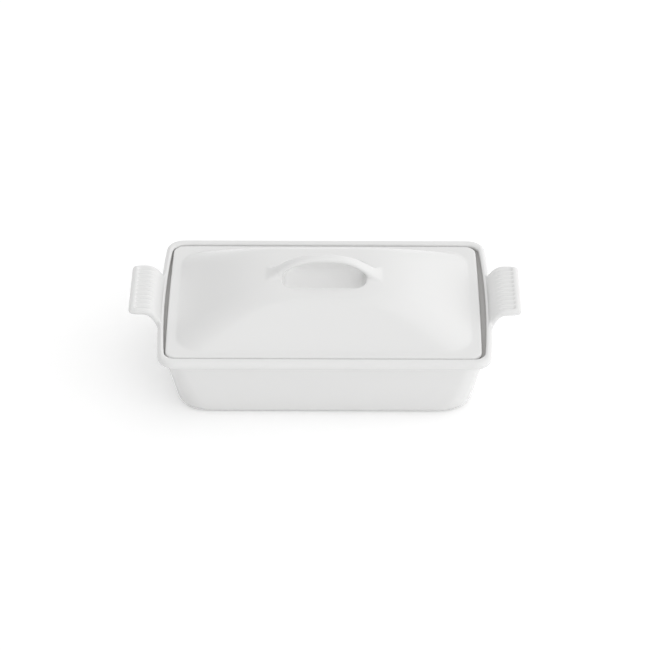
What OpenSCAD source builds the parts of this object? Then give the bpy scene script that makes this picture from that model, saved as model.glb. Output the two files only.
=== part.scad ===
// Covered stoneware casserole: an oblong baking dish with two rising end
// handles, and a hipped lid with a loop handle that rests on the dish's seat.
// The table is z = 0, the length runs along x and the front faces -y.

/* [Dish] */
// Length of the dish over its bowed ends, without the handles
dish_l = 329; // [290:1:370]
// Depth of the dish from front to back, over the rim
dish_w = 233; // [200:1:270]
// Height of the dish from the table to the top of the rim
dish_h = 71; // [55:1:95]
// How far each end bows out past its corners
end_bow = 4; // [0:0.5:8]
// Thickness of the wall
wall_t = 8; // [6.5:0.5:10]
// Thickness of the floor
floor_t = 8; // [5:0.5:12]
// Lean of the wall from upright, in degrees
wall_lean = 11.5; // [4:0.5:16]
// Radius of the wall's corners under the rim, seen from above
wall_corner_r = 18; // [10:1:30]
// Radius of the wall's corners at the base, seen from above
base_corner_r = 28; // [14:1:32]
// Rounding between the wall and the base, outside
base_round = 8; // [5:0.5:18]
// Rounding between the wall and the floor, inside
floor_round = 14; // [8:1:20]

/* [Rim] */
// Height of the rim band
rim_h = 8; // [6:0.5:12]
// Width of the rim along the front and the back
rim_side_w = 10; // [8:0.5:13]
// Width of the rim at the two ends
rim_end_w = 6; // [6:0.5:11]
// How far the rim band stands out past the wall at the front and the back
rim_side_overhang = 8.5; // [6:0.5:11]
// How far the rim band stands out past the wall at the two ends
rim_end_overhang = 6.8; // [6:0.2:10]
// Radius of the rim's corners, seen from above
rim_corner_r = 16.5; // [14:0.5:30]
// Radius of the corners inside the rim, seen from above
rim_inner_corner_r = 12; // [8:0.5:20]
// Rounding of the rim's outer edges
rim_round = 3.4; // [1.5:0.1:3.6]
// Rounding of the rim's inner edge
rim_inner_round = 2; // [1:0.1:2.3]
// Radius of the cove under the rim band
rim_cove = 4.2; // [3:0.2:6]

/* [Lid seat] */
// Depth of the lid's seat below the top of the rim
seat_depth = 5.2; // [4:0.1:6.5]
// Rounding of the seat's inner edge
seat_round = 1; // [0.5:0.1:2]
// Clearance between the lid and the rim at the front and the back
lid_gap_side = 2; // [1:0.1:3]
// Clearance between the lid's corners and the rim at the two ends
lid_gap_end = 1.5; // [1.3:0.1:3]
// How far to the right the lid rests in its loose seat
lid_shift = -1; // [-1:0.1:1]

/* [Lid] */
// Height of the lid's flat top above the rim
lid_rise = 30.5; // [22:0.5:40]
// Thickness of the lid's flange
flange_t = 4.6; // [3.5:0.1:6]
// Width of the lid's flange, out to where the slopes start
flange_w = 9.5; // [7:0.5:14]
// Thickness of the lid above the flange
lid_t = 6; // [4.5:0.5:8]
// Slope of the lid's front and back, in degrees
lid_side_slope = 34.5; // [28:0.5:40]
// Slope of the lid's two ends, in degrees
lid_end_slope = 25.5; // [20:0.5:34]
// How far each end of the lid bows out past its corners
lid_bow = 0.9; // [0:0.1:4]
// Radius of the lid's corners, seen from above
lid_corner_r = 11.5; // [8:0.5:20]
// Radius of the raised part's corners, seen from above
crown_corner_r = 26; // [14:1:32]
// Radius of the hollow between the flange and the slopes
slope_foot_r = 6; // [4:1:18]
// Radius between the flat top and the front and back slopes
side_crest_r = 22; // [8:1:40]
// Radius between the flat top and the end slopes
end_crest_r = 150; // [40:5:200]

/* [Lid handle] */
// Length of the loop handle over its feet
loop_l = 112; // [100:1:125]
// Height of the loop above the lid's flat top
loop_h = 20; // [15:0.5:28]
// Width of the grip, front to back
grip_w = 11; // [8:0.5:18]
// Thickness of the grip
grip_t = 6.4; // [5:0.2:9]
// Clear length of the opening under the grip
opening_l = 82; // [60:1:84]
// Width of each foot, front to back
foot_w = 18; // [14:1:26]

/* [Finger recess] */
// Depth of the recess in the lid under the grip
recess_depth = 10; // [4:0.5:12]
// Size of the recess, front to back
recess_w = 53; // [36:1:58]
// Radius of the recess's corners, seen from above
recess_corner_r = 12; // [6:0.5:16]
// Run of the recess's hollow walls at the front and the back
recess_side_run = 7; // [3:0.5:12]
// Run of the recess's hollow walls at the two ends
recess_end_run = 15; // [6:0.5:20]
// Thickness of the lid around the recess
recess_wall_t = 5; // [4:0.5:7]

/* [Dish handles] */
// How far each handle reaches out past the rim
handle_reach = 28.2; // [20:0.2:36]
// Run over which each handle sweeps up out of the rim
handle_run = 19; // [16:0.5:22]
// Width of each handle, front to back
handle_w = 86; // [70:1:110]
// Thickness of each handle
handle_t = 8; // [6:0.2:9]
// Height of the handles above the top of the rim
handle_rise = 15; // [8:0.2:20]
// How far each handle widens at its root, on each side
handle_flare = 1.5; // [0:0.5:14]
// Radius of the handles' outer corners, seen from above
handle_corner_r = 9; // [5:0.5:12]
// Number of grip grooves in each handle
groove_count = 10; // [6:1:12]
// Depth of the grooves
groove_depth = 1.8; // [0.6:0.1:2]
// Width of the plain border between the grooves and the handle's outer edge
groove_border = 7; // [5.5:0.5:9]
// Width of the plain border at the front and the back of the grooves
groove_side = 4; // [4:0.5:10]
// Length of the grooves
groove_l = 17; // [8:1:17]

/* [Hidden] */

// Steps of a quarter circle, of a bowed end and of a section's edge
arc_n = 6;
end_n = 6;
edge_n = 6;

// Rings around the loop handle, from its middle to a foot, and points in each
loop_n = 12;
loop_ring_n = 20;

glaze = "white";

// Heights above the table
band_z = dish_h - rim_h;
seat_z = dish_h - seat_depth;
flange_z = seat_z + flange_t;
top_z = dish_h + lid_rise;

// Half sizes of the rim and the lid, at their corners
rim_hl = dish_l / 2 - end_bow;
rim_hw = dish_w / 2;
lid_hl = rim_hl - rim_end_w - lid_gap_end;
lid_hw = rim_hw - rim_side_w - lid_gap_side;

// How far a leaning wall's skin lies from its axis, measured level
lean_t = wall_t / cos(wall_lean);

// Radius of the cove, which stops short of the rounding of the band's lower edge
cove_r = min(rim_cove,
    (min(rim_end_overhang, rim_side_overhang) - rim_round - 0.05) / (1 - tan(wall_lean)));

// Points of a level outline: a rounded rectangle whose ends bow outwards, if bow isn't zero
function outline(hl, hw, corner_r, z, bow) = [
    for (q = [0:3])
        let (
            sx = (q == 0 || q == 3) ? 1 : -1,
            sy = q < 2 ? 1 : -1,
            r = min(corner_r, 0.95 * hl, 0.95 * hw)
        )
            each concat(
                [for (i = [0:arc_n])
                    let (a = 90 * (q + i / arc_n))
                        bowed(sx * (hl - r) + r * cos(a), sy * (hw - r) + r * sin(a), z, hl, hw, bow)],
                q % 2 == 0 || bow == 0 ? [] : [for (i = [1:end_n - 1])
                    bowed(sx * hl, sy * (r - hw) * (2 * i / end_n - 1), z, hl, hw, bow)]
            )
];

function bowed(x, y, z, hl, hw, bow) = [x * (1 + bow / hl * (1 - pow(y / hw, 2))), y, z];

// A closed solid through rings of equally many points, with flat ends
module loft(rings) {
    n = len(rings[0]);
    last = (len(rings) - 1) * n;
    polyhedron(
        [for (ring = rings) each ring],
        concat(
            [[for (j = [0:n - 1]) j]],
            [for (i = [0:len(rings) - 2], j = [0:n - 1])
                let (a = i * n + j, b = i * n + (j + 1) % n)
                    each [[a, a + n, b + n], [a, b + n, b]]],
            [[for (j = [n - 1:-1:0]) last + j]]
        )
    );
}

// Corner radius of the wall's outside, which grows towards the base
function wall_corner(z) = base_corner_r + (wall_corner_r - base_corner_r) * z / band_z;

// How far the leaning wall lies inside its own place under the rim band
function wall_inset(z) = (band_z - z) * tan(wall_lean);

// Round between the leaning skin and a level floor, as [inset, height]
function foot_round(r, floor_z, skin) = [
    for (i = [0:arc_n])
        let (a = (90 - wall_lean) * i / arc_n)
            [skin + wall_inset(floor_z + r) + r / cos(wall_lean) - r * sin(a), floor_z + r * (1 - cos(a))]
];

function reversed(list) = [for (i = [len(list) - 1:-1:0]) list[i]];

// An outline of the dish, inset from the rim's own or from the wall's place under the band
function dish_ring(end_in, side_in, z, r) = outline(rim_hl - end_in, rim_hw - side_in, r, z, end_bow);
function wall_ring(inset, z, r) = dish_ring(rim_end_overhang + inset, rim_side_overhang + inset, z, r);

// The dish's skin from the base up, over the rim and down to the floor
dish_rings = concat(
    [for (p = foot_round(base_round, 0, 0)) wall_ring(p[0], p[1], wall_corner(p[1]))],
    [for (a = [0:30:90])
        let (inset = wall_inset(band_z - cove_r) - cove_r * (1 - cos(a)), z = band_z - cove_r * (1 - sin(a)))
            wall_ring(inset, z, wall_corner(z))],
    [for (a = [0:30:90])
        let (inset = rim_round * (1 - sin(a)))
            dish_ring(inset, inset, band_z + rim_round * (1 - cos(a)), rim_corner_r - inset)],
    [for (a = [0:22.5:90])
        let (inset = rim_round * (1 - cos(a)))
            dish_ring(inset, inset, dish_h - rim_round * (1 - sin(a)), rim_corner_r - inset)],
    [for (a = [0:30:90])
        let (back = rim_inner_round * (1 - sin(a)))
            dish_ring(
                rim_end_w - back, rim_side_w - back, dish_h - rim_inner_round * (1 - cos(a)),
                rim_inner_corner_r)],
    [dish_ring(rim_end_w, rim_side_w, seat_z, rim_inner_corner_r)],
    [for (a = [0:30:90])
        let (inset = wall_inset(seat_z - seat_round) + lean_t - seat_round * (1 - sin(a)))
            wall_ring(inset, seat_z - seat_round * (1 - cos(a)), rim_inner_corner_r)],
    [for (p = reversed(foot_round(floor_round, floor_t, lean_t))) wall_ring(p[0], p[1], wall_corner_r)]
);

// Margin by which a handle's root is sunk into the rim
root_in = 0.8;

// Half widths of a groove at its edge and at its floor, as shares of the pitch
groove_edge = 0.28;
groove_floor = 0.1;

// Where a handle starts inside the rim, where it ends and where its grooves end
handle_x0 = dish_l / 2 - rim_end_w + rim_inner_round - root_in / 2;
handle_x1 = dish_l / 2 + handle_reach;
groove_x1 = handle_x1 - groove_border;
groove_pitch = (handle_w - 2 * groove_side) / groove_count;

// Top of a handle along x, which sweeps up from the rim and levels out, and its steepness
sweep_power = 2.5;
function sweep_left(x) = 1 - min(max((x - handle_x0) / handle_run, 0), 1);
function handle_top(x) =
    dish_h - root_in + (handle_rise + root_in) * (1 - pow(sweep_left(x), sweep_power));
function handle_steepness(x) =
    sweep_power * (handle_rise + root_in) / handle_run * pow(sweep_left(x), sweep_power - 1);

// Half width of a handle along x: flared at the root, rounded at the outer corners
function handle_half_w(x) =
    let (t = min((x - handle_x0) / (0.75 * handle_run), 1), c = max(x - (handle_x1 - handle_corner_r), 0))
        handle_w / 2 + handle_flare * pow(1 - t, 2)
        - (handle_corner_r - sqrt(pow(handle_corner_r, 2) - c * c));

// Depth of the grooves along x: they fade out towards the rim
function groove_fade(x) =
    x > groove_x1 ? 0 : min(max((x - groove_x1 + groove_l) / (0.4 * groove_l), 0), 1);

// Section of a handle across x, thinned at its outer end by the angle a. The handle
// is as thick across its sweep as on the level, down to the rim band's lower edge
function handle_ring(x, a) =
    let (
        t = min(handle_t * norm([1, handle_steepness(x)]), handle_top(x) - band_z - root_in),
        h = t / 2 * cos(a),
        r = min(t, handle_t) / 2 * cos(a),
        mid = handle_top(x) - t / 2,
        hw = handle_half_w(x) - r,
        pitch = min(groove_pitch, 2 * hw / groove_count),
        dip = groove_depth * groove_fade(x)
    )
        concat(
            [for (i = [0:edge_n])
                let (b = 180 * i / edge_n - 90)
                    [x, hw + r * cos(b), mid + h * sin(b)]],
            [for (g = [groove_count - 1:-1:0], k = [groove_edge, groove_floor, -groove_floor, -groove_edge])
                [x, (g - (groove_count - 1) / 2 + k) * pitch, mid + h - (abs(k) > groove_floor ? 0 : dip)]],
            [for (i = [0:edge_n])
                let (b = 90 + 180 * i / edge_n)
                    [x, r * cos(b) - hw, mid + h * sin(b)]]
        );

// Places of a handle's sections, as [x, angle]: up the sweep, along the grooves,
// just past them, and around the outer edge
sweep_x1 = handle_x0 + 0.7 * handle_run;
last_a = 75;
handle_stations = concat(
    [for (i = [0:7]) [handle_x0 + (sweep_x1 - handle_x0) * i / 7, 0]],
    [for (i = [1:4]) [sweep_x1 + (groove_x1 - sweep_x1) * i / 4, 0]],
    [[groove_x1 + 1, 0]],
    [for (i = [0:3]) [handle_x1 - handle_t / 2 * (1 - sin(last_a * i / 3) / sin(last_a)), last_a * i / 3]]
);

module dish_handle() {
    loft([for (s = handle_stations) handle_ring(s[0], s[1])]);
}

module dish() {
    color(glaze) {
        loft(dish_rings);
        dish_handle();
        mirror([1, 0, 0]) dish_handle();
    }
}

// Run of a slope at height h above its foot, with a hollow below and a crest above
function slope_run(h, rise, slope, foot_r, crest_r) =
    let (
        bend = 1 - cos(slope),
        h1 = foot_r * bend,
        r = min(crest_r, (rise - h1) / bend),
        h2 = rise - r * bend
    )
        h < h1 ? foot_r * sin(acos(1 - h / foot_r)) :
        h < h2 ? foot_r * sin(slope) + (h - h1) / tan(slope) :
        foot_r * sin(slope) + (h2 - h1) / tan(slope) + r * (sin(slope) - sin(acos(1 - (rise - h) / r)));

// Heights of the rings up a crown, closer where its front and back bend
function crown_heights(rise, foot_r, crest_r) =
    let (bend = 1 - cos(lid_side_slope), foot = foot_r * bend, crest = crest_r * bend)
        concat(
            [for (i = [0:3]) foot * pow(i / 3, 2)],
            [for (i = [1:4]) foot + (rise - foot - crest) * i / 4],
            [for (i = [3:-1:0]) rise - crest * pow(i / 4, 2)]
        );

crown_rise = top_z - flange_z;
hollow_rise = top_z - lid_t - seat_z;

// Roundings of the flange and of the lip under it, and of the hollow's crests
flange_round = min(1.8, flange_t / 2 - 0.2);
lip_r = 3;
function inner_r(r) = max(r - lid_t, lip_r);

// Half sizes where the slopes start, of the crown and of the hollow under it
function crown_half(half, slope) = half - flange_w + slope_foot_r * tan(slope / 2);
function hollow_half(half, slope) =
    half - flange_w - (lid_t - flange_t) / tan(slope) - (lid_t - lip_r) * tan(slope / 2);

function lid_ring(hl, hw, r, z) = outline(hl, hw, r, z, lid_bow);

// The lid's skin from the hollow's ceiling down, around the flange and up
lid_rings = concat(
    [for (h = reversed(crown_heights(hollow_rise, lip_r, inner_r(side_crest_r))))
        lid_ring(
            hollow_half(lid_hl, lid_end_slope)
                - slope_run(h, hollow_rise, lid_end_slope, lip_r, inner_r(end_crest_r)),
            hollow_half(lid_hw, lid_side_slope)
                - slope_run(h, hollow_rise, lid_side_slope, lip_r, inner_r(side_crest_r)),
            inner_r(crown_corner_r), seat_z + h)],
    [for (a = [0:30:90])
        let (back = flange_round * (1 - sin(a)), z = seat_z + flange_round * (1 - cos(a)))
            lid_ring(lid_hl - back, lid_hw - back, lid_corner_r - back, z)],
    [for (a = [0:30:90])
        let (back = flange_round * (1 - cos(a)), z = flange_z - flange_round * (1 - sin(a)))
            lid_ring(lid_hl - back, lid_hw - back, lid_corner_r - back, z)],
    [for (h = crown_heights(crown_rise, slope_foot_r, side_crest_r))
        lid_ring(
            crown_half(lid_hl, lid_end_slope)
                - slope_run(h, crown_rise, lid_end_slope, slope_foot_r, end_crest_r),
            crown_half(lid_hw, lid_side_slope)
                - slope_run(h, crown_rise, lid_side_slope, slope_foot_r, side_crest_r),
            crown_corner_r, flange_z + h)]
);

// How deep the feet are sunk into the lid, and how far they stand back from the recess
foot_sunk = 2;
foot_back = 0.5;

// Ring i of the loop handle spans from its underside to its top. The top runs out
// softly onto the lid, and the last ring at either end carries the foot down into it
function loop_ring(i) =
    let (
        s = min(abs(i) / loop_n, 1),
        side = sign(i),
        sunk = abs(i) > loop_n ? foot_sunk : 0,
        over_x = side * loop_l / 2 * s,
        over_z = loop_h * pow(1 - pow(s, 2.8), 1.4),
        under_x = side * opening_l / 2 * s,
        under_z = (loop_h - grip_t) * (1 - pow(s, 3.6)),
        half_w = grip_w / 2 + (foot_w - grip_w) / 2 * pow(s, 3)
    )
        [for (k = [0:loop_ring_n - 1])
            let (a = 360 * k / loop_ring_n, u = -cos(a))
                [
                    (over_x + under_x) / 2 + u * (over_x - under_x) / 2,
                    sign(sin(a)) * half_w * lobe(u, 0.45 - 0.2 * pow(s, 3), 0.45 + 0.25 * pow(s, 3)),
                    top_z - sunk + (over_z + under_z) / 2 + u * (over_z - under_z) / 2
                ]];

// Half width of a rounded lobe between u = -1 and 1, at most 1: small powers p and
// q make its lower and upper ends blunt, and large ones make them pointed
function lobe(u, p, q) =
    let (m = (p - q) / (p + q))
        pow(max(1 + u, 0), p) * pow(max(1 - u, 0), q) / (pow(1 + m, p) * pow(1 - m, q));

module loop_handle() {
    loft([for (i = [-loop_n - 1:loop_n + 1]) loop_ring(i)]);
}

// The recess's bowl, grown by t and hollow below the level z0, with a collar up to z1
module recess_bowl(t, z0, z1) {
    hl = opening_l / 2 - foot_back + t;
    hw = recess_w / 2 + t;
    r = recess_corner_r + t;
    depth = z0 - top_z + recess_depth + t;
    loft(concat(
        [for (a = [90:-15:0])
            let (in_x = recess_end_run * (1 - cos(a)), in_y = recess_side_run * (1 - cos(a)))
                outline(hl - in_x, hw - in_y, max(r - in_y, lip_r), z0 - depth * sin(a), 0)],
        [outline(hl, hw, r, z1, 0)]
    ));
}

module lid() {
    translate([lid_shift, 0, 0]) color(glaze) {
        difference() {
            union() {
                loft(lid_rings);
                recess_bowl(recess_wall_t, top_z - lid_t, top_z - lid_t / 2);
            }
            recess_bowl(0, top_z, top_z + 1);
        }
        loop_handle();
    }
}

dish();
lid();
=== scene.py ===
import math

import bmesh
import bpy
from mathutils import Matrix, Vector


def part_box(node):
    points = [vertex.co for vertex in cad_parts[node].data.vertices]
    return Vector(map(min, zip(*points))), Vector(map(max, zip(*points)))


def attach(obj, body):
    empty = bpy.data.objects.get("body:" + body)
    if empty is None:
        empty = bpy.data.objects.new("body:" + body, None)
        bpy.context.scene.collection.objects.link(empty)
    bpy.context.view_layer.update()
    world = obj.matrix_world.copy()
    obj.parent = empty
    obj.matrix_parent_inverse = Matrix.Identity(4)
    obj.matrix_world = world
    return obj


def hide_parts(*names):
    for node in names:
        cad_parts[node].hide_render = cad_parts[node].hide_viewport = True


bl_info = {
    "name": "Covered casserole dish",
    "version": (1, 0, 0),
    "blender": (4, 5, 0),
    "location": "View3D > Sidebar > Casserole",
    "description": "Glazed casserole dish and lid, modelled around the packed frame",
    "category": "Object",
}

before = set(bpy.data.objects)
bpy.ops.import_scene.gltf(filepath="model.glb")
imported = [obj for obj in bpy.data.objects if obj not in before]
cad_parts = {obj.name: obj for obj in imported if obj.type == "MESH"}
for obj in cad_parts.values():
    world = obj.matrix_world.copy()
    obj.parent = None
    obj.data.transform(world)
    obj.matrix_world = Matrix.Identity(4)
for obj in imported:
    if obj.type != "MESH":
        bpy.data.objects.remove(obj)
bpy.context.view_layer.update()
DISH_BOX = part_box("dish")
LID_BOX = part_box("lid")

BODY = "root"
SUBDIVISIONS = 2

# Steps of a corner seen from above, and places along each long side of a ring
ARC_STEPS = 6
SIDE_PLACES = 12

# Places of the columns between a handle's root and the dish's corner, and of the lid's columns beside a loop's foot
OUTER_PLACES = (0.13, 0.38, 0.70)
BESIDE_FOOT = 0.86

# How far inside its rounding the rings of a flat face lie: the last one, and the one that holds it flat
FLAT_IN = 0.030
HOLD_IN = 0.004

# Rings this far from a tight inner corner, and a little further, keep it crisp
CREASE = 0.0002
CREASE_PAST = 0.0008

# The ring on the rim's flat top: its share of the flat at the ends, how far in it lies at the sides, and how much
# tighter its corners are
TOP_SHARE = 0.6
TOP_SIDE = 0.0022
TOP_CORNER = 0.001

# Handles: rows of faces they grow from, how deep their root is sunk, how far the rim's faces are gathered for it,
# the power of the sweep, and the sections up the sweep as (run, how much further out the underside lies)
WING_ROWS = 6
ROOT_IN = 0.0008
ROOT_SPREAD = 0.0015
SWEEP = 2.5
SWEEP_SECTIONS = (
    (0.0021, 0.0031), (0.0041, 0.0024), (0.0063, 0.0018), (0.0087, 0.0012), (0.0113, 0.0008), (0.0140, 0.0004),
    (0.0167, 0.0))

# Sections near the grooves' outer ends, measured from them, and how far one lies inside the end's rounding
GROOVE_SECTIONS = (-0.0062, -0.0030, -0.0006, 0.0010)
END_SECTION = 0.0010

# A groove's control points go down twice as far as its lands' go up, so that the lands stay level
GROOVE_PULL = -2

# Loop: places of its sections from a foot to the middle, the powers of its arch above and below and of its
# widening towards the feet, the bluntness of its section, how much it is grown to make up for the smoothing, and
# how close its two halves' points lie where they are joined
LOOP_SECTIONS = (0.93, 0.84, 0.74, 0.62, 0.48, 0.33, 0.17, 0.0)
ARCH_OVER = (2.8, 1.4)
ARCH_UNDER = 3.6
ARCH_WIDENS = 3
LOOP_BLUNT = 0.8
LOOP_GROWN = 1.03
JOIN_WITHIN = 0.00002

# How far a loop's foot stands back from the recess, and the recess's rings around and inside its edge
FOOT_BACK = 0.0005
RECESS_RIM = 0.0014
RECESS_EDGE = 0.0003
RECESS_IN = 0.0016

# Rings in the middle of the lid's faces over and under the recess
RECESS_FLAT_IN = 0.010

# Shares of the fine ripples and of the pits in the glaze's relief
FINE_SHARE = 0.18
PITS_SHARE = 0.2

# How far a corner cuts in past the square where the mask of the bare clay and its painted gap shade ends, and how far
# its upper edge waves
SHADED_CLAY_CORNER = 0.0105
SHADED_CLAY_WAVE = 0.0008

# The picture's width and where the rim's centre lies in it, in pixels, and the camera's sensor in millimetres
IMAGE_W = 650
RIM_PX = (325.1, 299.7)
SENSOR_W = 36.0
FLOOR_HALF = 6.0


def length(name, description, default):
    """A property that holds a length in metres."""
    return bpy.props.FloatProperty(
        name=name, description=description, default=default, unit="LENGTH", subtype="DISTANCE", precision=4)


def angle(name, description, degrees):
    """A property that holds an angle, given in degrees."""
    return bpy.props.FloatProperty(
        name=name, description=description, default=math.radians(degrees), unit="ROTATION", subtype="ANGLE")


def number(name, description, default):
    """A property that holds a plain number."""
    return bpy.props.FloatProperty(name=name, description=description, default=default, precision=3)


def colour(name, description, default):
    """A property that holds a colour."""
    return bpy.props.FloatVectorProperty(
        name=name, description=description, default=default, size=3, subtype="COLOR", min=0.0, max=1.0)


class DishSizes(bpy.types.PropertyGroup):
    """Sizes of the baking dish and its rim."""
    length: length("Length", "Length over the bowed ends of the rim", 0.329)
    depth: length("Depth", "Depth over the rim, front to back", DISH_BOX[1][1] - DISH_BOX[0][1])
    height: length("Height", "Height of the rim above the table", 0.071)
    bow: length("End bow", "How far each end bows out past its corners", 0.004)
    wall: length("Wall", "Thickness of the wall", 0.008)
    floor: length("Floor", "Thickness of the floor", 0.008)
    lean: angle("Lean", "Lean of the wall from upright", 11.5)
    wall_corner: length("Wall corner", "Radius of the wall's corners under the rim, seen from above", 0.018)
    base_corner: length("Base corner", "Radius of the wall's corners at the base, seen from above", 0.028)
    base_round: length("Base rounding", "Rounding between the wall and the base", 0.008)
    floor_round: length("Floor rounding", "Rounding between the wall and the floor, inside", 0.014)
    band: length("Rim height", "Height of the rim band", 0.008)
    rim_side: length("Rim width, sides", "Width of the rim along the front and the back", 0.010)
    rim_end: length("Rim width, ends", "Width of the rim at the two ends", 0.006)
    out_side: length("Overhang, sides", "How far the rim stands out past the wall, front and back", 0.0085)
    out_end: length("Overhang, ends", "How far the rim stands out past the wall at the ends", 0.0068)
    rim_corner: length("Rim corner", "Radius of the rim's corners, seen from above", 0.0165)
    seat_corner: length("Seat corner", "Radius of the corners inside the rim", 0.012)
    rim_round: length("Rim rounding", "Rounding of the rim's outer edges", 0.0034)
    lip_round: length("Inner rounding", "Rounding of the rim's inner edge", 0.002)
    cove: length("Cove", "Radius of the cove under the rim", 0.0042)
    seat_depth: length("Seat depth", "Depth of the lid's seat below the rim", 0.0052)
    seat_round: length("Seat rounding", "Rounding of the seat's inner edge", 0.001)


class HandleSizes(bpy.types.PropertyGroup):
    """Sizes of the two rising end handles."""
    reach: length("Reach", "How far each handle reaches out past the rim", 0.0282)
    width: length("Width", "Width of each handle, front to back", 0.086)
    thick: length("Thickness", "Thickness of each handle", 0.008)
    rise: length("Rise", "Height of the handles above the rim", 0.015)
    run: length("Run", "Run over which each handle sweeps up", 0.019)
    flare: length("Flare", "How far each handle widens at its root, on each side", 0.0015)
    corner: length("Corner", "Radius of the outer corners, seen from above", 0.009)
    grooves: bpy.props.IntProperty(name="Grooves", description="Number of grip grooves", default=10, min=4, max=16)
    groove_side: length("Groove margin", "Plain border at the front and the back of the grooves", 0.004)
    groove_border: length("Outer border", "Plain border outside the grooves", 0.007)
    groove_length: length("Groove length", "Length of the grooves", 0.017)
    groove_depth: length("Groove depth", "Depth of the grooves", 0.0018)


class LidSizes(bpy.types.PropertyGroup):
    """Sizes of the hipped lid."""
    gap_side: length("Gap, sides", "Clearance to the rim at the front and the back", 0.002)
    gap_end: length("Gap, ends", "Clearance to the rim at the ends", 0.0015)
    shift: length("Shift", "How far to the right the lid rests in its seat", -0.001)
    rise: length("Rise", "Height of the flat top above the rim", 0.0305)
    flange: length("Flange", "Thickness of the flange", 0.0046)
    flange_width: length("Flange width", "Width of the flange, out to where the slopes start", 0.0095)
    thick: length("Thickness", "Thickness of the lid above the flange", 0.006)
    side_slope: angle("Side slope", "Slope of the front and the back", 34.5)
    end_slope: angle("End slope", "Slope of the two ends", 25.5)
    bow: length("Bow", "How far each end bows out past its corners", 0.0009)
    corner: length("Corner", "Radius of the flange's corners", 0.0115)
    crown_corner: length("Crown corner", "Radius of the raised part's corners", 0.026)
    foot_round: length("Foot rounding", "Radius of the hollow between the flange and the slopes", 0.006)
    side_crest: length("Side crest", "Radius between the flat top and the front and back slopes", 0.022)
    end_crest: length("End crest", "Radius between the flat top and the end slopes", 0.150)
    lip_round: length("Lip rounding", "Radius of the lip under the flange", 0.003)
    flange_round: length("Flange rounding", "Rounding of the flange's edges", 0.0018)


class LoopSizes(bpy.types.PropertyGroup):
    """Sizes of the loop handle and of the finger recess under it."""
    length: length("Length", "Length over the feet", 0.112)
    height: length("Height", "Height of the loop above the lid's flat top", LID_BOX[1][2] - 0.1015)
    width: length("Width", "Width of the grip, front to back", 0.011)
    thick: length("Thickness", "Thickness of the grip", 0.0064)
    opening: length("Opening", "Clear length under the grip", 0.082)
    foot_width: length("Foot width", "Width of each foot, front to back", 0.018)
    recess_depth: length("Recess depth", "Depth of the finger recess", 0.010)
    recess_width: length("Recess width", "Size of the recess, front to back", 0.053)
    recess_corner: length("Recess corner", "Radius of the recess's corners", 0.012)
    recess_side_run: length("Recess run, sides", "Run of the hollow walls at the front and the back", 0.007)
    recess_end_run: length("Recess run, ends", "Run of the hollow walls at the ends", 0.015)
    recess_wall: length("Recess wall", "Thickness of the lid around the recess", 0.005)


class GlazeLook(bpy.types.PropertyGroup):
    """Colours and finish of the white glaze, and of the bare clay whose grey also paints the shade in the gap."""
    white: colour("Glaze", "Colour of the glaze where it lies thick", (0.86, 0.86, 0.855))
    thin: colour("Thin glaze", "Colour where the glaze breaks thin over an edge", (0.83, 0.825, 0.81))
    rough: number("Roughness", "Roughness of the glaze", 0.16)
    ripple: length("Ripple", "Height of the glaze's soft ripples", 0.00012)
    # Bare clay where the lid and the dish meet, set grey so that it also paints the shade that falls in the gap
    # between lid and rim
    shaded_clay: colour("Clay", "Colour of the bare clay where the lid and the dish meet", (0.51, 0.505, 0.495))
    clay_rough: number("Clay roughness", "Roughness of the bare clay", 0.75)
    shaded_clay_height: length("Clay height", "How far the bare clay reaches above the lid's seat", 0.0026)


class StudioLook(bpy.types.PropertyGroup):
    """Light, floor and camera."""
    elevation: angle("Elevation", "Height of the camera above the horizon", 32.0)
    distance: length("Distance", "Distance from the camera to the rim's centre", 3.209)
    focal: number("Focal length", "Focal length on a 36 mm frame", 179.5)
    azimuth: angle("Azimuth", "How far the camera stands to the right of the dish's front", 0.33)
    overhead: number("Overhead", "Strength of the soft light from overhead", 0.9)
    around: number("Around", "Strength of the soft light from near the horizon", 0.84)
    right: number("From the right", "How much stronger that light is from the right, and weaker from the left", 0.8)
    front: number("From the front", "How much stronger that light is from the front, and weaker from the back", 0.2)
    shine: number("Floor glow", "How much the floor is topped up to white where the camera sees it", 0.22)


GROUPS = {
    "casserole_dish": DishSizes,
    "casserole_handles": HandleSizes,
    "casserole_lid": LidSizes,
    "casserole_loop": LoopSizes,
    "casserole_glaze": GlazeLook,
    "casserole_studio": StudioLook,
}


def spread(n):
    """n - 1 even places between -1 and 1."""
    return [2 * i / n - 1 for i in range(1, n)]


def ring_columns(end_places, side_places):
    """The columns of a ring, counter-clockwise from the right end: each is (kind, side or quadrant, place)."""
    columns = [("end", 1, t) for t in end_places]
    for quadrant in range(4):
        columns += [("corner", quadrant, i / ARC_STEPS) for i in range(ARC_STEPS + 1)]
        if quadrant == 0:
            columns += [("side", 1, -t) for t in side_places]
        if quadrant == 1:
            columns += [("end", -1, -t) for t in end_places]
        if quadrant == 2:
            columns += [("side", -1, t) for t in side_places]
    return columns


def ring_point(column, hl, hw, r, z, bow, shift=0.0):
    """The place of one column on a rounded rectangle whose ends bow outwards."""
    kind, which, value = column
    if kind == "end":
        x, y = which * hl, value * (hw - r)
    elif kind == "side":
        x, y = value * (hl - r), which * hw
    else:
        turn = math.radians(90) * (which + value)
        sx = 1 if which in (0, 3) else -1
        sy = 1 if which < 2 else -1
        x = sx * (hl - r) + r * math.cos(turn)
        y = sy * (hw - r) + r * math.sin(turn)
    return Vector((x * (1 + bow / hl * (1 - (y / hw) ** 2)) + shift, y, z))


def key_of(vert):
    """A vertex's place, rounded, to find its copy after an extrusion and to sort by."""
    return tuple(round(value, 7) for value in vert.co)


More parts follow.
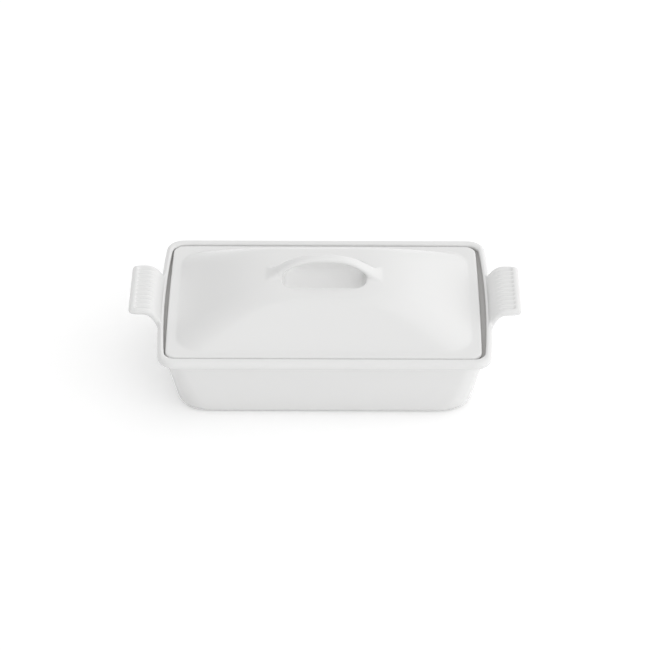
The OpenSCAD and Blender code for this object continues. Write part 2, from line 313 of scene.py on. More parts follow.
def grow(bm, faces, held):
    """Extrudes faces as one region. Returns the new faces and the copies of the held vertices."""
    edges = list(dict.fromkeys(edge for face in faces for edge in face.edges))
    keys = {place: key_of(vert) for place, vert in held.items()}
    geom = bmesh.ops.extrude_face_region(bm, geom=faces + edges)["geom"]
    copies = {key_of(part): part for part in geom if isinstance(part, bmesh.types.BMVert)}
    fresh = [part for part in geom if isinstance(part, bmesh.types.BMFace)]
    return fresh, {place: copies[key] for place, key in keys.items()}


def grow_shell(bm, columns, rings, bow, shift):
    """Extrudes a disc through rings of (hl, hw, r, z) and returns each ring's vertices."""
    made = bmesh.ops.create_circle(bm, cap_ends=True, segments=len(columns), radius=1.0)
    ring = dict(enumerate(made["verts"]))
    faces = bm.faces[:]
    kept = []
    for hl, hw, r, z in rings:
        if kept:
            faces, ring = grow(bm, faces, ring)
        for place, vert in ring.items():
            vert.co = ring_point(columns[place], hl, hw, r, z, bow, shift)
        kept.append(ring)
    return kept


def patch_faces(rings, rows, cols):
    """The faces between the given rows of rings and the given columns."""
    n = len(rings[0])
    faces = []
    for i in rows[:-1]:
        for j in cols[:-1]:
            corners = (rings[i][j], rings[i][(j + 1) % n], rings[i + 1][j], rings[i + 1][(j + 1) % n])
            faces.append(next(f for f in corners[0].link_faces if all(v in f.verts for v in corners)))
    return faces


def in_order(bm):
    """Copies the shape with its vertices and faces sorted by place, so that each run gives the same mesh."""
    found = sorted(bm.verts, key=key_of)
    index = {vert: i for i, vert in enumerate(found)}
    faces = []
    for face in bm.faces:
        corners = [index[vert] for vert in face.verts]
        first = corners.index(min(corners))
        faces.append(corners[first:] + corners[:first])
    copy = bmesh.new()
    verts = [copy.verts.new(vert.co) for vert in found]
    for corners in sorted(faces):
        copy.faces.new([verts[i] for i in corners])
    bm.free()
    return copy


def finish_piece(bm, name, node, material):
    """Makes the object, rounds it by subdivision and sets it on the frame."""
    bmesh.ops.recalc_face_normals(bm, faces=bm.faces)
    bm = in_order(bm)
    mesh = bpy.data.meshes.new(name)
    bm.to_mesh(mesh)
    bm.free()
    for polygon in mesh.polygons:
        polygon.use_smooth = True
    piece = bpy.data.objects.new(name, mesh)
    bpy.context.scene.collection.objects.link(piece)
    smooth = piece.modifiers.new("Subdivision", "SUBSURF")
    smooth.levels = SUBDIVISIONS
    smooth.render_levels = SUBDIVISIONS
    mesh.materials.append(material)
    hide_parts(node)
    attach(piece, BODY)
    return piece


def arc(n, start=0.0, stop=90.0):
    """n + 1 even angles in radians."""
    return [math.radians(start + (stop - start) * i / n) for i in range(n + 1)]


def dish_rings(d):
    """The dish's rings from the base up, over the rim and down to the floor, with the handle rows' place."""
    hl = d.length / 2 - d.bow
    hw = d.depth / 2
    band_z = d.height - d.band
    seat_z = d.height - d.seat_depth
    skin = d.wall / math.cos(d.lean)

    def rim(end_in, side_in, z, r):
        return (hl - end_in, hw - side_in, r, z)

    def wall(inset, z, r):
        return rim(d.out_end + inset, d.out_side + inset, z, r)

    def lean_in(z):
        return (band_z - z) * math.tan(d.lean)

    def outside(inset, z):
        return wall(inset, z, d.base_corner + (d.wall_corner - d.base_corner) * z / band_z)

    def foot(r, floor_z, skin_in, a):
        inset = skin_in + lean_in(floor_z + r) + r / math.cos(d.lean) - r * math.sin(a)
        return inset, floor_z + r * (1 - math.cos(a))

    rows = []
    base_in, _ = foot(d.base_round, 0, 0, 0)
    rows += [outside(base_in + FLAT_IN, 0), outside(base_in + HOLD_IN, 0)]
    for a in arc(5, 0, 90 - math.degrees(d.lean)):
        inset, z = foot(d.base_round, 0, 0, a)
        rows.append(outside(inset, z))
    for share in (0.12, 0.5, 0.88):
        z = d.base_round + share * (band_z - d.cove - d.base_round)
        rows.append(outside(lean_in(z), z))
    for a in arc(3):
        inset = lean_in(band_z - d.cove) - d.cove * (1 - math.cos(a))
        rows.append(outside(inset, band_z - d.cove * (1 - math.sin(a))))
    for a in arc(3):
        inset = d.rim_round * (1 - math.sin(a))
        rows.append(rim(inset, inset, band_z + d.rim_round * (1 - math.cos(a)), d.rim_corner - inset))
    first_handle_row = len(rows) - 2
    for a in (0, math.radians(45), math.radians(90)):
        inset = d.rim_round * (1 - math.cos(a))
        rows.append(rim(inset, inset, d.height - d.rim_round * (1 - math.sin(a)), d.rim_corner - inset))
    flat = TOP_SHARE * (d.rim_end - d.lip_round - d.rim_round)
    rows.append(rim(d.rim_round + flat, d.rim_round + TOP_SIDE, d.height, d.rim_corner - d.rim_round - TOP_CORNER))
    for a in arc(3):
        back = d.lip_round * (1 - math.sin(a))
        z = d.height - d.lip_round * (1 - math.cos(a))
        rows.append(rim(d.rim_end - back, d.rim_side - back, z, d.seat_corner))
    rows.append(rim(d.rim_end, d.rim_side, seat_z + CREASE_PAST, d.seat_corner))
    rows.append(rim(d.rim_end + CREASE, d.rim_side + CREASE, seat_z + CREASE, d.seat_corner))
    rows.append(rim(d.rim_end + CREASE_PAST, d.rim_side + CREASE_PAST, seat_z, d.seat_corner))
    for a in arc(3):
        inset = lean_in(seat_z - d.seat_round) + skin - d.seat_round * (1 - math.sin(a))
        rows.append(wall(inset, seat_z - d.seat_round * (1 - math.cos(a)), d.seat_corner))
    for share in (0.85, 0.5, 0.12):
        z = d.floor + d.floor_round + share * (seat_z - d.seat_round - d.floor - d.floor_round)
        rows.append(wall(lean_in(z) + skin, z, d.seat_corner + (d.wall_corner - d.seat_corner) * (1 - share)))
    for a in reversed(arc(5, 0, 90 - math.degrees(d.lean))):
        inset, z = foot(d.floor_round, d.floor, skin, a)
        rows.append(wall(inset, z, d.wall_corner))
    floor_in, _ = foot(d.floor_round, d.floor, skin, 0)
    rows += [wall(floor_in + HOLD_IN, d.floor, d.wall_corner), wall(floor_in + FLAT_IN, d.floor, d.wall_corner)]
    return rows, first_handle_row


def handle_places(h):
    """Places across a handle, front to back, with the groove's share at each: flats are 0 and grooves 1."""
    pitch = (h.width - 2 * h.groove_side) / h.grooves
    edge = h.width / 2 - h.thick / 2
    places = [(-edge, 0)]
    for g in range(2 * h.grooves - 1):
        places.append(((g - h.grooves + 1) * pitch / 2, (g + 1) % 2))
    places.append((edge, 0))
    return places


def wing(bm, rings, first_row, cols, side, d, h):
    """Pulls one rising handle out of the rim band: extrudes its faces along the sweep and grooves its top."""
    rows = list(range(first_row, first_row + WING_ROWS))
    places = handle_places(h)
    count = len(places)
    faces = patch_faces(rings, rows, list(cols))
    held = {(i, j): rings[row][col] for i, row in enumerate(rows) for j, col in enumerate(cols)}
    around = arc(WING_ROWS - 1, -90, 90)
    x0 = d.length / 2 - d.rim_end + d.lip_round - ROOT_IN / 2
    x1 = d.length / 2 + h.reach
    groove_x1 = x1 - h.groove_border
    rise = h.rise + ROOT_IN

    def top(x):
        left = 1 - min(max((x - x0) / h.run, 0), 1)
        return d.height - ROOT_IN + rise * (1 - left ** SWEEP)

    def under(x):
        left = 1 - min(max((x - x0) / h.run, 0), 1)
        steep = SWEEP * rise / h.run * left ** (SWEEP - 1)
        return top(x) - min(h.thick * math.hypot(1, steep), top(x) - (d.height - d.band) - ROOT_IN)

    def half(x):
        t = min(max((x - x0) / (0.75 * h.run), 0), 1)
        over = max(x - (x1 - h.corner), 0)
        return h.width / 2 + h.flare * (1 - t) ** 2 - (h.corner - math.sqrt(max(h.corner ** 2 - over ** 2, 0)))

    def fade(x):
        if x > groove_x1:
            return 0
        return min(max((x - groove_x1 + h.groove_length) / (0.4 * h.groove_length), 0), 1)

    sections = [(x0 + run, lag) for run, lag in SWEEP_SECTIONS]
    sections += [(groove_x1 + past, 0.0) for past in GROOVE_SECTIONS]
    sections += [(x1 - h.thick / 2 - END_SECTION, 0.0), (x1 - h.thick / 2, 0.0)]
    for k, (x, lag) in enumerate(sections):
        faces, held = grow(bm, faces, held)
        upper, lower = Vector((x, 0, top(x))), Vector((x + lag, 0, under(x + lag)))
        r = min(h.thick, top(x) - under(x)) / 2
        flat = half(x) - r
        for (i, j), vert in held.items():
            y, groove = places[j]
            share = math.sin(around[i])
            place = upper.lerp(lower, (1 - share) / 2)
            place.y = y * flat / places[-1][0]
            outwards = r * math.cos(around[i])
            if k == len(sections) - 1:
                place.x += outwards
            if j in (0, count - 1):
                place.y += math.copysign(outwards, y)
            elif i == WING_ROWS - 1:
                place.z += h.groove_depth * fade(x) * (GROOVE_PULL if groove else 1)
            vert.co = (side * place.x, side * place.y, place.z)


class CASSEROLE_OT_dish(bpy.types.Operator):
    """Model the baking dish: base, leaning wall, rim, lid seat and the two grooved handles"""
    bl_idname = "casserole.dish"
    bl_label = "Dish"

    def execute(self, context):
        scene = context.scene
        d, h = scene.casserole_dish, scene.casserole_handles
        rows, first_row = dish_rings(d)
        straight = d.depth / 2 - d.rim_corner
        places = handle_places(h)
        edge = places[-1][0]
        root_half = h.width / 2 + h.flare + ROOT_SPREAD
        wing_t = [y / edge * root_half / straight for y, _ in places]
        outer = [wing_t[-1] + (1 - wing_t[-1]) * s for s in OUTER_PLACES]
        ends = [-t for t in reversed(outer)] + wing_t + outer
        columns = ring_columns(ends, spread(SIDE_PLACES))
        bm = bmesh.new()
        rings = grow_shell(bm, columns, rows, d.bow, 0.0)
        right = range(len(outer), len(outer) + len(wing_t))
        first_left = next(k for k, c in enumerate(columns) if c[0] == "end" and c[1] == -1)
        left = range(first_left + len(outer), first_left + len(outer) + len(wing_t))
        wing(bm, rings, first_row, right, 1, d, h)
        wing(bm, rings, first_row, left, -1, d, h)
        seat_z = d.height - d.seat_depth
        # Below this height the seat is bare clay, whose grey also paints the shade in the gap under the lid
        shaded_clay_top = seat_z + scene.casserole_glaze.shaded_clay_height
        half_length = d.length / 2 - d.rim_end + d.lip_round / 2
        half_depth = d.depth / 2 - d.rim_side / 2
        material = glaze_material(scene, "Dish glaze", seat_z - CREASE, shaded_clay_top, half_length, half_depth)
        finish_piece(bm, "dish_body", "dish", material)
        return {"FINISHED"}


def slope_run(rise_at, rise, slope, foot, crest):
    """Run of a slope at a height above its foot, with a hollow below and a crest above."""
    bend = 1 - math.cos(slope)
    h1 = foot * bend
    r = min(crest, (rise - h1) / bend)
    h2 = rise - r * bend
    if rise_at < h1:
        return foot * math.sin(math.acos(1 - rise_at / foot))
    if rise_at < h2:
        return foot * math.sin(slope) + (rise_at - h1) / math.tan(slope)
    top = math.acos(min(1, 1 - (rise - rise_at) / r))
    return foot * math.sin(slope) + (h2 - h1) / math.tan(slope) + r * (math.sin(slope) - math.sin(top))


def lid_rings(d, l, p):
    """The lid's rings from under the recess, around the flange and up to the recess's floor, with the feet's row."""
    hl = d.length / 2 - d.bow - d.rim_end - l.gap_end
    hw = d.depth / 2 - d.rim_side - l.gap_side
    seat_z = d.height - d.seat_depth
    flange_z = seat_z + l.flange
    top_z = d.height + l.rise
    rise = top_z - flange_z
    hollow = top_z - l.thick - seat_z
    inner_crest = max(l.side_crest - l.thick, l.lip_round)
    inner_end_crest = l.end_crest - l.thick
    inner_corner = l.crown_corner - l.thick
    thin = l.thick - l.flange
    recess_hl = p.opening / 2 - FOOT_BACK
    recess_hw = p.recess_width / 2

    def crown(h):
        run_l = slope_run(h, rise, l.end_slope, l.foot_round, l.end_crest)
        run_w = slope_run(h, rise, l.side_slope, l.foot_round, l.side_crest)
        foot_l = hl - l.flange_width + l.foot_round * math.tan(l.end_slope / 2)
        foot_w = hw - l.flange_width + l.foot_round * math.tan(l.side_slope / 2)
        return (foot_l - run_l, foot_w - run_w, l.crown_corner, flange_z + h)

    def foot(half, slope):
        return half - l.flange_width - thin / math.tan(slope) - (l.thick - l.lip_round) * math.tan(slope / 2)

    def under(h):
        run_l = slope_run(h, hollow, l.end_slope, l.lip_round, inner_end_crest)
        run_w = slope_run(h, hollow, l.side_slope, l.lip_round, inner_crest)
        return (foot(hl, l.end_slope) - run_l, foot(hw, l.side_slope) - run_w, inner_corner, seat_z + h)

    def bowl(a, out, z0, end_out=0.0):
        depth = z0 - top_z + p.recess_depth + out
        in_l = p.recess_end_run * (1 - math.cos(a))
        in_w = p.recess_side_run * (1 - math.cos(a))
        r = p.recess_corner + out - in_w
        return (recess_hl + end_out - in_l, recess_hw + out - in_w, r, z0 - depth * math.sin(a))

    def mix(a, b, s):
        return tuple(x + (y - x) * s for x, y in zip(a, b))

    ceiling = top_z - l.thick
    rows = []
    wall_end = 0.5 * p.recess_wall
    bottom = bowl(math.radians(90), p.recess_wall, ceiling, wall_end)
    rows.append((bottom[0] - RECESS_FLAT_IN, bottom[1] - RECESS_FLAT_IN, bottom[2] - 0.4 * RECESS_FLAT_IN, bottom[3]))
    rows += [bowl(a, p.recess_wall, ceiling, wall_end) for a in reversed(arc(4, 12, 90))]
    mouth = bowl(0, p.recess_wall, ceiling, wall_end)
    rows.append((mouth[0] + 2 * RECESS_EDGE, mouth[1] + 2 * RECESS_EDGE, mouth[2], ceiling))
    crest_h = inner_crest * (1 - math.cos(l.side_slope))
    rows.append(mix((mouth[0], mouth[1], mouth[2], ceiling), under(hollow), 0.6))
    rows += [under(hollow - crest_h * s) for s in (0, 0.1, 0.4, 1)]
    rows += [under(crest_h + (hollow - 2 * crest_h) * s) for s in (0.75, 0.5, 0.25, 0.08)]
    lip_h = l.lip_round * (1 - math.cos(l.side_slope))
    rows += [under(lip_h * s) for s in (1, 0.3, 0)]
    for a in arc(3):
        back = l.flange_round * (1 - math.sin(a))
        rows.append((hl - back, hw - back, l.corner - back, seat_z + l.flange_round * (1 - math.cos(a))))
    for a in arc(3):
        back = l.flange_round * (1 - math.cos(a))
        rows.append((hl - back, hw - back, l.corner - back, flange_z - l.flange_round * (1 - math.sin(a))))
    edge = rows[-1]
    foot_row = crown(0)
    rows.append(mix(edge, foot_row, 0.25))
    rows.append(mix(edge, foot_row, 0.80))
    foot_h = l.foot_round * (1 - math.cos(l.side_slope))
    crest_h = l.side_crest * (1 - math.cos(l.side_slope))
    rows += [crown(foot_h * s) for s in (0, 0.11, 0.45, 1)]
    rows += [crown(foot_h + (rise - foot_h - crest_h) * s) for s in (0.08, 0.33, 0.62, 0.9)]
    rows += [crown(rise - crest_h * s) for s in (1, 0.62, 0.34, 0.15)]
    feet_row = len(rows)
    x_over = p.length / 2
    drop = (x_over - crown(rise)[0]) ** 2 / (2 * l.end_crest)
    rows.append(crown(rise - drop))
    rows.append(crown(rise - drop * 0.25))
    rows.append(mix(crown(rise), bowl(0, 0, top_z), 0.1))
    rows.append((recess_hl + RECESS_RIM, recess_hw + RECESS_RIM, p.recess_corner + RECESS_RIM, top_z))
    last_foot_row = len(rows) - 1
    rows.append((recess_hl + RECESS_EDGE, recess_hw + RECESS_EDGE, p.recess_corner, top_z - RECESS_EDGE))
    rows.append((recess_hl, recess_hw, p.recess_corner, top_z - RECESS_IN))
    rows += [bowl(a, 0, top_z) for a in arc(4, 25, 90)]
    floor = rows[-1]
    rows.append((floor[0] - RECESS_FLAT_IN, floor[1] - RECESS_FLAT_IN, floor[2] - 0.2 * RECESS_FLAT_IN, floor[3]))
    return rows, feet_row, last_foot_row


def strap(bm, rings, rows, right, left, d, l, p):
    """Raises a strap from each foot's faces to the middle of the loop and joins the two."""
    top_z = d.height + l.rise
    around = {}
    m = len(rows) - 1
    n = len(right) - 1
    for j in range(n + 1):
        around[(m, j)] = math.radians(225 + 90 * j / n)
        around[(0, j)] = math.radians(135 - 90 * j / n)
    for i in range(1, m):
        share = i / m
        around[(i, n)] = math.radians(45 - 90 * share)
        around[(i, 0)] = math.radians(135 + 90 * share)

    def power(value, exponent):
        return math.copysign(abs(value) ** exponent, value)

    for side, cols in ((1, list(right)), (-1, list(left))):
        faces = patch_faces(rings, rows, cols)
        held = {(i, j): rings[row][col] for i, row in enumerate(rows) for j, col in enumerate(cols)}
        for s in LOOP_SECTIONS:
            faces, held = grow(bm, faces, held)
            over = (p.length / 2 * s, p.height * (1 - s ** ARCH_OVER[0]) ** ARCH_OVER[1])
            under = (p.opening / 2 * s, (p.height - p.thick) * (1 - s ** ARCH_UNDER))
            half = p.width / 2 + (p.foot_width - p.width) / 2 * s ** ARCH_WIDENS
            for (i, j), vert in held.items():
                if (i, j) in around:
                    a = around[(i, j)]
                    u = power(math.sin(a), LOOP_BLUNT)
                    y = power(math.cos(a), LOOP_BLUNT) * half * LOOP_GROWN
                else:
                    u = 1 - 2 * i / m
                    y = (2 * j / n - 1) * half / 2
                x = (over[0] + under[0]) / 2 + u * (over[0] - under[0]) / 2
                z = (over[1] + under[1]) / 2 + u * (over[1] - under[1]) / 2
                vert.co = Vector((side * x + l.shift, side * y, top_z + z))
        bmesh.ops.delete(bm, geom=faces, context="FACES")
    bmesh.ops.delete(bm, geom=[v for v in bm.verts if not v.link_faces], context="VERTS")
    bmesh.ops.remove_doubles(bm, verts=bm.verts, dist=JOIN_WITHIN)


class CASSEROLE_OT_lid(bpy.types.Operator):
    """Model the lid: flange, slopes, flat top, finger recess and the loop handle over it"""
    bl_idname = "casserole.lid"
    bl_label = "Lid"

    def execute(self, context):
        scene = context.scene
        d, l, p = scene.casserole_dish, scene.casserole_lid, scene.casserole_loop
        rows, feet_row, last_foot_row = lid_rings(d, l, p)
        straight = p.recess_width / 2 - p.recess_corner
        foot_t = p.foot_width / 2 / straight
        feet = [foot_t * s for s in (-1, -0.5, 0, 0.5, 1)]
        ends = [-BESIDE_FOOT] + feet + [BESIDE_FOOT]
        columns = ring_columns(ends, spread(SIDE_PLACES))
        bm = bmesh.new()
        rings = grow_shell(bm, columns, rows, l.bow, l.shift)
        first_left = next(k for k, c in enumerate(columns) if c[0] == "end" and c[1] == -1)
        right = range(1, 1 + len(feet))
        left = range(first_left + 1, first_left + 1 + len(feet))
        strap(bm, rings, list(range(feet_row, last_foot_row + 1)), right, left, d, l, p)
        # The lid is bare clay up to this height, its grey also painting the shade in the gap beside the rim
        shaded_clay_top = d.height - d.seat_depth + scene.casserole_glaze.shaded_clay_height
        material = glaze_material(scene, "Lid glaze", 0.0, shaded_clay_top, d.length, d.depth)
        finish_piece(bm, "lid_crown", "lid", material)
        return {"FINISHED"}


def node(tree, kind, place, **values):
    """Adds a node at a place in the editor and sets its inputs and settings by name."""
    made = tree.nodes.new(kind)
    made.location = place
    for name, value in values.items():
        key = name.replace("_", " ")
        if key in made.inputs:
            made.inputs[key].default_value = value
        else:
            setattr(made, name, value)
    return made


def glaze_group():
    """Node group for a fired glaze: where it pools and breaks thin, its sheen and its ripples."""
    group = bpy.data.node_groups.get("Fired glaze")
    if group:
        return group
    group = bpy.data.node_groups.new("Fired glaze", "ShaderNodeTree")
    side = group.interface
    side.new_socket("Ripple", in_out="INPUT", socket_type="NodeSocketFloat")
    side.new_socket("Thin", in_out="OUTPUT", socket_type="NodeSocketFloat")
    side.new_socket("Sheen", in_out="OUTPUT", socket_type="NodeSocketFloat")
    side.new_socket("Height", in_out="OUTPUT", socket_type="NodeSocketFloat")
    links = group.links
    inside = node(group, "NodeGroupInput", (-900, 0))
    outside = node(group, "NodeGroupOutput", (600, 0))
    place = node(group, "ShaderNodeTexCoord", (-900, -200))
    soft = node(group, "ShaderNodeTexNoise", (-600, 200), Scale=22.0, Detail=2.0, Roughness=0.4)
    fine = node(group, "ShaderNodeTexNoise", (-600, -100), Scale=260.0, Detail=3.0, Roughness=0.55)
    pits = node(group, "ShaderNodeTexVoronoi", (-600, -400), Scale=420.0, Randomness=1.0)
    for texture in (soft, fine, pits):
        links.new(place.outputs["Object"], texture.inputs["Vector"])
    bend = node(group, "ShaderNodeNewGeometry", (-600, 500))
    edge = node(group, "ShaderNodeMapRange", (-300, 500), From_Min=0.515, From_Max=0.62)
    links.new(bend.outputs["Pointiness"], edge.inputs["Value"])
    links.new(edge.outputs["Result"], outside.inputs["Thin"])
    sheen = node(group, "ShaderNodeMapRange", (-300, 200), To_Min=-0.03, To_Max=0.04)
    links.new(soft.outputs["Fac"], sheen.inputs["Value"])
    links.new(sheen.outputs["Result"], outside.inputs["Sheen"])
    speck = node(group, "ShaderNodeMapRange", (-300, -400), From_Max=0.08, To_Min=-0.25, To_Max=0.0)
    links.new(pits.outputs["Distance"], speck.inputs["Value"])
    sum_up = node(group, "ShaderNodeMath", (-50, -100), operation="MULTIPLY_ADD")
    sum_up.inputs[1].default_value = FINE_SHARE
    links.new(fine.outputs["Fac"], sum_up.inputs[0])
    links.new(soft.outputs["Fac"], sum_up.inputs[2])
    with_pits = node(group, "ShaderNodeMath", (150, -150), operation="MULTIPLY_ADD")
    with_pits.inputs[1].default_value = PITS_SHARE
    links.new(speck.outputs["Result"], with_pits.inputs[0])
    links.new(sum_up.outputs["Value"], with_pits.inputs[2])
    scaled = node(group, "ShaderNodeMath", (350, -150), operation="MULTIPLY")
    links.new(with_pits.outputs["Value"], scaled.inputs[0])
    links.new(inside.outputs["Ripple"], scaled.inputs[1])
    links.new(scaled.outputs["Value"], outside.inputs["Height"])
    return group


def shaded_clay_group():
    """Node group for the bare clay that keeps the lid from fusing to the dish, whose grey also paints the shade in
    the gap between lid and rim: a level ring with a wavy edge.
    """
    group = bpy.data.node_groups.get("Clay with gap shade")
    if group:
        return group
    group = bpy.data.node_groups.new("Clay with gap shade", "ShaderNodeTree")
    side = group.interface
    for name in ("Bottom", "Top", "Half length", "Half depth", "Half sum"):
        side.new_socket(name, in_out="INPUT", socket_type="NodeSocketFloat")
    side.new_socket("Clay and shade", in_out="OUTPUT", socket_type="NodeSocketFloat")
    links = group.links
    inside = node(group, "NodeGroupInput", (-900, 0))
    outside = node(group, "NodeGroupOutput", (700, 0))
    place = node(group, "ShaderNodeTexCoord", (-900, -300))
    apart = node(group, "ShaderNodeSeparateXYZ", (-700, -300))
    links.new(place.outputs["Object"], apart.inputs["Vector"])
    wave = node(group, "ShaderNodeTexNoise", (-700, -500), Scale=70.0, Detail=2.0)
    links.new(place.outputs["Object"], wave.inputs["Vector"])
    height = node(group, "ShaderNodeMath", (-500, -400), operation="MULTIPLY_ADD")
    height.inputs[1].default_value = SHADED_CLAY_WAVE
    links.new(wave.outputs["Fac"], height.inputs[0])
    links.new(apart.outputs["Z"], height.inputs[2])
    across = []
    for k, axis in enumerate(("X", "Y")):
        size = node(group, "ShaderNodeMath", (-500, -150 * k), operation="ABSOLUTE")
        links.new(apart.outputs[axis], size.inputs[0])
        across.append(size.outputs["Value"])
    corner = node(group, "ShaderNodeMath", (-350, 150), operation="ADD")
    links.new(across[0], corner.inputs[0])
    links.new(across[1], corner.inputs[1])
    level = height.outputs["Value"]
    tests = []
    for k, (value, limit, kind) in enumerate((
            (level, "Bottom", "GREATER_THAN"), (level, "Top", "LESS_THAN"), (across[0], "Half length", "LESS_THAN"),
            (across[1], "Half depth", "LESS_THAN"), (corner.outputs["Value"], "Half sum", "LESS_THAN"))):
        test = node(group, "ShaderNodeMath", (-200, -150 * k), operation=kind)
        links.new(value, test.inputs[0])
        links.new(inside.outputs[limit], test.inputs[1])
        tests.append(test.outputs["Value"])
    total = tests[0]
    for k, test in enumerate(tests[1:]):
        both = node(group, "ShaderNodeMath", (50 + 200 * k, 0), operation="MULTIPLY")
        links.new(total, both.inputs[0])
        links.new(test, both.inputs[1])
        total = both.outputs["Value"]
    links.new(total, outside.inputs["Clay and shade"])
    return group


def glaze_material(scene, name, bottom, top, half_length, half_depth):
    """White glaze over stoneware, glossy with soft ripples, and bare clay inside the given limits, whose grey also
    paints the shade in the gap between lid and dish.
    """
    look = scene.casserole_glaze
    material = bpy.data.materials.new(name)
    material.use_nodes = True
    tree = material.node_tree
    shader = tree.nodes["Principled BSDF"]
    shader.inputs["IOR"].default_value = 1.5
    glaze = node(tree, "ShaderNodeGroup", (-700, 0))
    glaze.node_tree = glaze_group()
    glaze.inputs["Ripple"].default_value = 1.0
    tint = node(tree, "ShaderNodeMix", (-400, 200), data_type="RGBA")
    tint.inputs["A"].default_value = (*look.white, 1.0)
    tint.inputs["B"].default_value = (*look.thin, 1.0)
    tree.links.new(glaze.outputs["Thin"], tint.inputs["Factor"])
    shaded_clay = node(tree, "ShaderNodeGroup", (-700, 400))
    shaded_clay.node_tree = shaded_clay_group()
    shaded_clay.inputs["Bottom"].default_value = bottom
    shaded_clay.inputs["Top"].default_value = top
    shaded_clay.inputs["Half length"].default_value = half_length
    shaded_clay.inputs["Half depth"].default_value = half_depth
    shaded_clay.inputs["Half sum"].default_value = half_length + half_depth - SHADED_CLAY_CORNER
    # Painted shade: the bare clay's grey darkens the gap where the lid meets the dish
    body = node(tree, "ShaderNodeMix", (-200, 200), data_type="RGBA")
    body.inputs["B"].default_value = (*look.shaded_clay, 1.0)
    tree.links.new(shaded_clay.outputs["Clay and shade"], body.inputs["Factor"])
    tree.links.new(tint.outputs["Result"], body.inputs["A"])
    tree.links.new(body.outputs["Result"], shader.inputs["Base Color"])
    rough = node(tree, "ShaderNodeMath", (-400, 0), operation="ADD")
    rough.inputs[1].default_value = look.rough
    tree.links.new(glaze.outputs["Sheen"], rough.inputs[0])
    finish = node(tree, "ShaderNodeMix", (-200, 0), data_type="FLOAT")
    finish.inputs["B"].default_value = look.clay_rough
    tree.links.new(shaded_clay.outputs["Clay and shade"], finish.inputs["Factor"])
    tree.links.new(rough.outputs["Value"], finish.inputs["A"])
    tree.links.new(finish.outputs["Result"], shader.inputs["Roughness"])
    bump = node(tree, "ShaderNodeBump", (-400, -200), Strength=0.35, Distance=look.ripple)
    tree.links.new(glaze.outputs["Height"], bump.inputs["Height"])
    tree.links.new(bump.outputs["Normal"], shader.inputs["Normal"])
    return material


def white_rays(tree, x, y):
    """The output that is 1 on the rays that show the background: camera, glossy and transmission rays."""
    rays = node(tree, "ShaderNodeLightPath", (x, y))
    shown = rays.outputs["Is Camera Ray"]
    for kind in ("Is Transmission Ray", "Is Glossy Ray"):
        x += 200
        either = node(tree, "ShaderNodeMath", (x, y), operation="MAXIMUM")
        tree.links.new(shown, either.inputs[0])
        tree.links.new(rays.outputs[kind], either.inputs[1])
        shown = either.outputs["Value"]
    return shown


def studio_world(studio):
    """Soft light from all around, at the horizon stronger from the right and the front, seen as white."""
    world = bpy.data.worlds.new("Studio")
    world.use_nodes = True
    tree = world.node_tree
    place = node(tree, "ShaderNodeTexCoord", (-900, -200))
    lean = node(tree, "ShaderNodeVectorMath", (-700, -200), operation="DOT_PRODUCT")
    lean.inputs[1].default_value = (studio.right, -studio.front, 0.0)
    tree.links.new(place.outputs["Generated"], lean.inputs[0])
    level = node(tree, "ShaderNodeMath", (-500, -200), operation="ADD")
    level.inputs[1].default_value = studio.around
    tree.links.new(lean.outputs["Value"], level.inputs[0])
    apart = node(tree, "ShaderNodeSeparateXYZ", (-700, -450))
    tree.links.new(place.outputs["Generated"], apart.inputs["Vector"])
    high = node(
        tree, "ShaderNodeMapRange", (-500, -450), interpolation_type="SMOOTHSTEP", From_Min=0.35, From_Max=0.65)
    tree.links.new(apart.outputs["Z"], high.inputs["Value"])
    sky = node(tree, "ShaderNodeMix", (-300, -250), data_type="FLOAT")
    sky.inputs["B"].default_value = studio.overhead
    tree.links.new(high.outputs["Result"], sky.inputs["Factor"])
    tree.links.new(level.outputs["Value"], sky.inputs["A"])
    strength = node(tree, "ShaderNodeMix", (-100, 0), data_type="FLOAT")
    strength.inputs["B"].default_value = 1.0
    tree.links.new(white_rays(tree, -700, 100), strength.inputs["Factor"])
    tree.links.new(sky.outputs["Result"], strength.inputs["A"])
    background = tree.nodes["Background"]
    background.inputs["Color"].default_value = (1.0, 1.0, 1.0, 1.0)
    tree.links.new(strength.outputs["Result"], background.inputs["Strength"])
    return world


def floor_material(shine):
    """White floor that keeps the shadow: matt white, topped up to white where the camera or a gloss sees it."""
    material = bpy.data.materials.new("Studio floor")
    material.use_nodes = True
    tree = material.node_tree
    shader = tree.nodes["Principled BSDF"]
    shader.inputs["Base Color"].default_value = (0.95, 0.95, 0.95, 1.0)
    shader.inputs["Roughness"].default_value = 0.9
    shader.inputs["Specular IOR Level"].default_value = 0.0
    glow = node(tree, "ShaderNodeEmission", (-200, -300))
    strength = node(tree, "ShaderNodeMath", (-300, -450), operation="MULTIPLY")
    strength.inputs[1].default_value = shine
    tree.links.new(white_rays(tree, -900, -450), strength.inputs[0])
    tree.links.new(strength.outputs["Value"], glow.inputs["Strength"])
    both = node(tree, "ShaderNodeAddShader", (200, 0))
    tree.links.new(shader.outputs["BSDF"], both.inputs[0])
    tree.links.new(glow.outputs["Emission"], both.inputs[1])
    tree.links.new(both.outputs["Shader"], tree.nodes["Material Output"].inputs["Surface"])
    return material


def aim(thing, target):
    """Turns the camera towards a point."""
    thing.rotation_euler = (Vector(target) - thing.location).to_track_quat("-Z", "Y").to_euler()


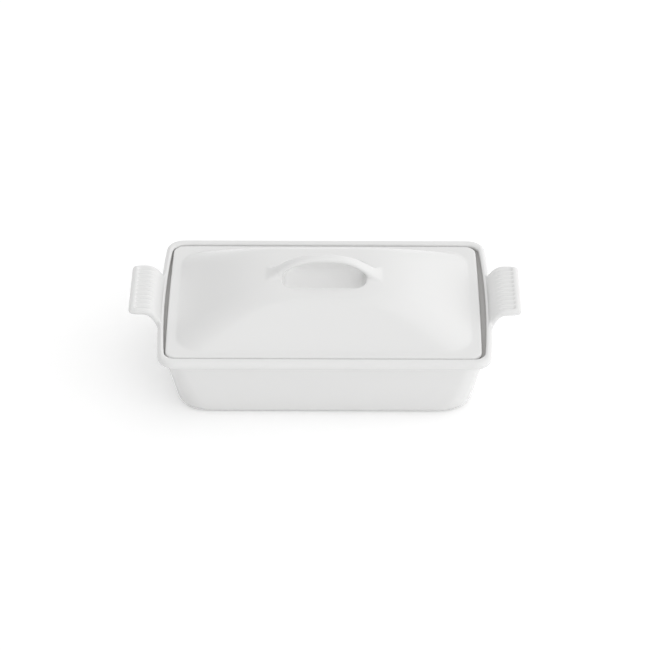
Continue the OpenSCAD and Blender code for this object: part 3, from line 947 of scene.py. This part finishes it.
class CASSEROLE_OT_stage(bpy.types.Operator):
    """Set up the floor, the soft light and the camera at the photograph's angle"""
    bl_idname = "casserole.stage"
    bl_label = "Stage"

    def execute(self, context):
        scene = context.scene
        studio, d = scene.casserole_studio, scene.casserole_dish
        centre = Vector((0, 0, d.height))
        bm = bmesh.new()
        bmesh.ops.create_grid(bm, x_segments=1, y_segments=1, size=FLOOR_HALF)
        mesh = bpy.data.meshes.new("floor")
        bm.to_mesh(mesh)
        bm.free()
        floor = bpy.data.objects.new("floor", mesh)
        mesh.materials.append(floor_material(studio.shine))
        scene.collection.objects.link(floor)

        scene.world = studio_world(studio)

        data = bpy.data.cameras.new("camera")
        camera = bpy.data.objects.new("camera", data)
        scene.collection.objects.link(camera)
        data.lens = studio.focal
        data.sensor_width = SENSOR_W
        level = math.cos(studio.elevation)
        camera.location = centre + studio.distance * Vector(
            (math.sin(studio.azimuth) * level, -math.cos(studio.azimuth) * level, math.sin(studio.elevation)))
        aim(camera, centre)
        data.shift_x = (IMAGE_W / 2 - RIM_PX[0]) / IMAGE_W
        data.shift_y = (RIM_PX[1] - IMAGE_W / 2) / IMAGE_W
        scene.camera = camera
        scene.view_settings.view_transform = "Standard"
        return {"FINISHED"}


class CASSEROLE_PT_panel(bpy.types.Panel):
    """The casserole's operators and sizes, in the 3D view's sidebar"""
    bl_idname = "CASSEROLE_PT_panel"
    bl_label = "Casserole dish"
    bl_space_type = "VIEW_3D"
    bl_region_type = "UI"
    bl_category = "Casserole"

    def draw(self, context):
        for operator in OPERATORS:
            self.layout.operator(operator.bl_idname)
        for name in GROUPS:
            group = getattr(context.scene, name)
            box = self.layout.box()
            box.label(text=group.__doc__ or name)
            for prop in group.bl_rna.properties:
                if prop.identifier not in ("rna_type", "name"):
                    box.prop(group, prop.identifier)


OPERATORS = (CASSEROLE_OT_stage, CASSEROLE_OT_dish, CASSEROLE_OT_lid)


def register():
    for name, group in GROUPS.items():
        bpy.utils.register_class(group)
        setattr(bpy.types.Scene, name, bpy.props.PointerProperty(type=group))
    for cls in (*OPERATORS, CASSEROLE_PT_panel):
        bpy.utils.register_class(cls)


def unregister():
    for cls in reversed((*OPERATORS, CASSEROLE_PT_panel)):
        bpy.utils.unregister_class(cls)
    for name, group in reversed(GROUPS.items()):
        delattr(bpy.types.Scene, name)
        bpy.utils.unregister_class(group)


def main():
    register()
    bpy.ops.casserole.stage()
    bpy.ops.casserole.dish()
    bpy.ops.casserole.lid()


if __name__ == "__main__":
    main()
